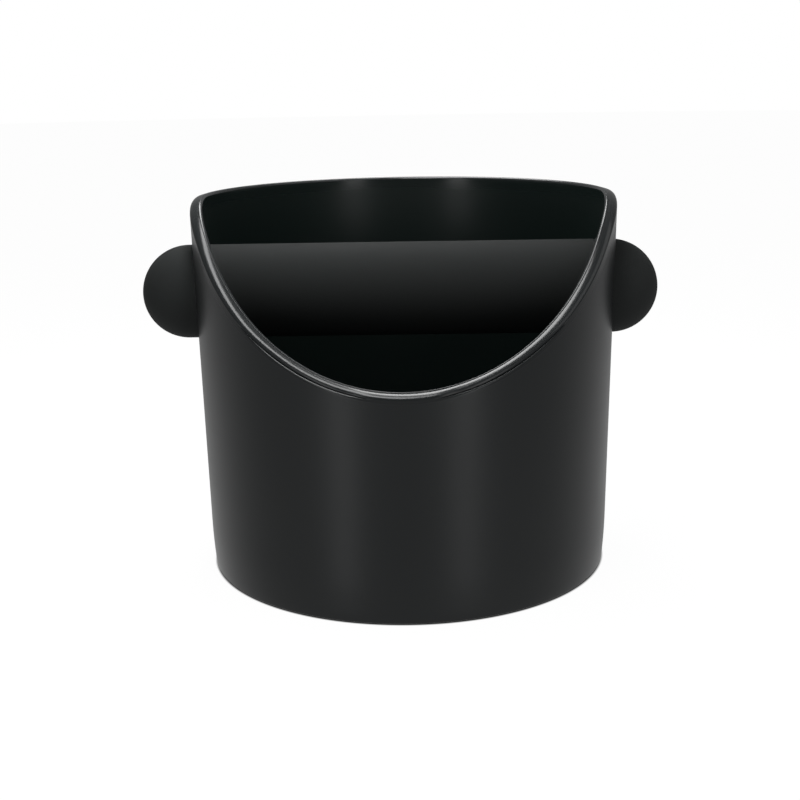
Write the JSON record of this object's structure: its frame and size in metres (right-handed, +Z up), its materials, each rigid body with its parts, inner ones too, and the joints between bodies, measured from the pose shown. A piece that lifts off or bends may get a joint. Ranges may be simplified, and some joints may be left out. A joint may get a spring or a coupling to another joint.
{
  "type": "espresso knock box",
  "caption": "Round moulded bucket with a scooped front and a removable rubber-covered knock bar across it, for knocking spent coffee out of a portafilter.",
  "frame": {"origin": "on the table, under the bucket's axis: the middle of the base pad's standing face", "axes": "+X along the knock bar to the viewer's right, -Y out of the scooped front, +Z up"},
  "size_m": [0.14, 0.113, 0.1],
  "materials": {
    "moulded_plastic": "satin black ABS, fine moulded grain",
    "pad_rubber": "matt black non-slip rubber",
    "bar_rubber": "soft matt black rubber",
    "stainless": "drawn stainless tube",
    "nylon": "plain black nylon"
  },
  "bodies": {
    "bin": {"bucket": "moulded_plastic", "base_pad": "pad_rubber"},
    "bar_core": {"core_tube": "stainless"},
    "bar_cover": {"knock_sleeve": "bar_rubber"},
    "left_end": {"end_cap_left": "bar_rubber", "cap_plug_left": "nylon"},
    "right_end": {"end_cap_right": "bar_rubber", "cap_plug_right": "nylon"}
  },
  "joints": [
    {"name": "bar_slide", "type": "slide", "parent": "bin", "child": "bar_core", "axis": [1, 0, 0], "range_m": [-0.135, 0.135]},
    {"name": "bar_turn", "type": "hinge", "parent": "bar_core", "child": "bar_cover", "pos_m": [0, 0, 0.0738], "axis": [1, 0, 0], "continuous": true},
    {"name": "left_cap_pull", "type": "slide", "parent": "bar_cover", "child": "left_end", "axis": [-1, 0, 0], "range_m": [0, 0.02]},
    {"name": "right_cap_pull", "type": "slide", "parent": "bar_cover", "child": "right_end", "axis": [1, 0, 0], "range_m": [0, 0.02]}
  ]
}
